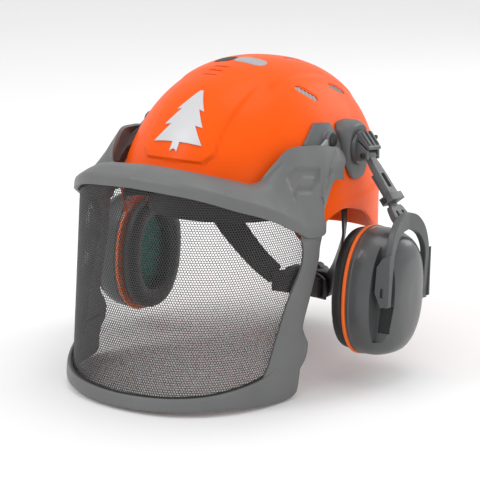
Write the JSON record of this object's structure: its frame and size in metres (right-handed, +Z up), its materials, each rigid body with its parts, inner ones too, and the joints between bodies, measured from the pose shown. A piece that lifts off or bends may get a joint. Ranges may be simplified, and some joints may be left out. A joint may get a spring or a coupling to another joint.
{
  "type": "forestry helmet",
  "caption": "Vented safety helmet with a strap harness and headband, a tilting mesh visor on side hinges, and two ear muffs on swivelling, folding arms.",
  "frame": {"origin": "middle of the headband, level with its lower edge at the brow, where the helmet sits on a head", "axes": "+X towards the wearer's left, +Y towards the wearer's back, +Z up"},
  "size_m": [0.336, 0.3389, 0.2724],
  "materials": {
    "shell": "bright orange moulded plastic, semi-gloss",
    "vent": "grey moulded grille",
    "visor": "dark grey moulded plastic, fine texture",
    "mesh": "black mesh with hexagonal holes",
    "trim": "black moulded plastic",
    "mount": "dark grey moulded plastic",
    "arm": "dark grey moulded plastic",
    "cup": "dark grey moulded plastic, satin",
    "ring": "orange moulded trim",
    "cushion": "black foam ring with a smooth skin",
    "foam": "dark green sound-absorbing foam",
    "band": "black moulded plastic",
    "strap": "black woven textile",
    "steel": "plain steel wire and pins"
  },
  "bodies": {
    "helmet": {"shell": "shell", "vent_crown": "vent", "vent_side_front_left": "vent", "vent_side_front_right": "vent", "vent_side_rear_left": "vent", "vent_side_rear_right": "vent", "vent_top_left": "vent", "vent_top_right": "vent", "visor_hinge_base_left": "mount", "visor_hinge_base_right": "mount", "visor_hinge_pin_left": "trim", "visor_hinge_pin_right": "trim", "muff_mount_left": "mount", "muff_mount_right": "mount", "headband": "band", "sweatband": "strap", "nape_arm_left": "band", "nape_arm_right": "band", "nape_plate": "band", "nape_pad": "strap", "nape_housing": "band", "crown_strap_lower": "strap", "crown_strap_upper": "strap", "clip_front_left": "band", "clip_front_right": "band", "clip_rear_left": "band", "clip_rear_right": "band"},
    "visor": {"visor_peak": "visor", "visor_frame": "visor", "visor_mesh": "mesh"},
    "muff_swivel_left": {"muff_swivel_left": "arm", "muff_fold_pin_left": "steel", "muff_fold_spring_left": "steel"},
    "muff_arm_left": {"muff_arm_left": "arm"},
    "muff_fork_left": {"muff_fork_left": "arm", "cup_pin_front_left": "steel", "cup_pin_rear_left": "steel"},
    "cup_left": {"cup_shell_left": "cup", "cup_ring_left": "ring", "cup_cushion_left": "cushion", "cup_foam_left": "foam"},
    "muff_swivel_right": {"muff_swivel_right": "arm", "muff_fold_pin_right": "steel", "muff_fold_spring_right": "steel"},
    "muff_arm_right": {"muff_arm_right": "arm"},
    "muff_fork_right": {"muff_fork_right": "arm", "cup_pin_front_right": "steel", "cup_pin_rear_right": "steel"},
    "cup_right": {"cup_shell_right": "cup", "cup_ring_right": "ring", "cup_cushion_right": "cushion", "cup_foam_right": "foam"},
    "knob": {"ratchet_knob": "band"},
    "rack_left": {"nape_rack_left": "band"},
    "rack_right": {"nape_rack_right": "band"}
  },
  "joints": [
    {"name": "visor_tilt", "type": "hinge", "parent": "helmet", "child": "visor", "pos_m": [0, -0.015, 0.069], "axis": [-1, 0, 0], "range_deg": [0, 75]},
    {"name": "muff_swing_left", "type": "hinge", "parent": "helmet", "child": "muff_swivel_left", "pos_m": [0.105, 0.02, 0.058], "axis": [-1, 0, 0], "range_deg": [-75, 3]},
    {"name": "muff_fold_left", "type": "hinge", "parent": "muff_swivel_left", "child": "muff_arm_left", "pos_m": [0.1155, 0.01943, 0.05203], "axis": [0, 0.9954, -0.0958], "range_deg": [0, 15]},
    {"name": "muff_height_left", "type": "slide", "parent": "muff_arm_left", "child": "muff_fork_left", "axis": [0.6266, -0.0747, -0.7758], "range_m": [-0.002, 0.016]},
    {"name": "cup_tilt_left", "type": "hinge", "parent": "muff_fork_left", "child": "cup_left", "pos_m": [0.16, 0.00812, -0.06543], "axis": [0, -0.9954, 0.0958], "range_deg": [-4, 12]},
    {"name": "muff_swing_right", "type": "hinge", "parent": "helmet", "child": "muff_swivel_right", "pos_m": [-0.105, 0.02, 0.058], "axis": [-1, 0, 0], "range_deg": [-75, 3]},
    {"name": "muff_fold_right", "type": "hinge", "parent": "muff_swivel_right", "child": "muff_arm_right", "pos_m": [-0.1155, 0.01943, 0.05203], "axis": [0, -0.9954, 0.0958], "range_deg": [0, 15]},
    {"name": "muff_height_right", "type": "slide", "parent": "muff_arm_right", "child": "muff_fork_right", "axis": [-0.6266, -0.0747, -0.7758], "range_m": [-0.002, 0.016]},
    {"name": "cup_tilt_right", "type": "hinge", "parent": "muff_fork_right", "child": "cup_right", "pos_m": [-0.16, 0.00812, -0.06543], "axis": [0, 0.9954, -0.0958], "range_deg": [-4, 12]},
    {"name": "knob_turn", "type": "hinge", "parent": "helmet", "child": "knob", "pos_m": [0, 0.105, -0.101], "axis": [0, -1, 0], "range_deg": [0, 180]},
    {"name": "rack_slide_left", "type": "slide", "parent": "helmet", "child": "rack_left", "axis": [-1, 0, 0], "range_m": [0, 0.0113]},
    {"name": "rack_slide_right", "type": "slide", "parent": "helmet", "child": "rack_right", "axis": [1, 0, 0], "range_m": [0, 0.0113]}
  ],
  "couplings": [
    {"joint": "rack_slide_left", "follows": "knob_turn", "m_per_rad": 0.00355},
    {"joint": "rack_slide_right", "follows": "knob_turn", "m_per_rad": 0.00355}
  ]
}
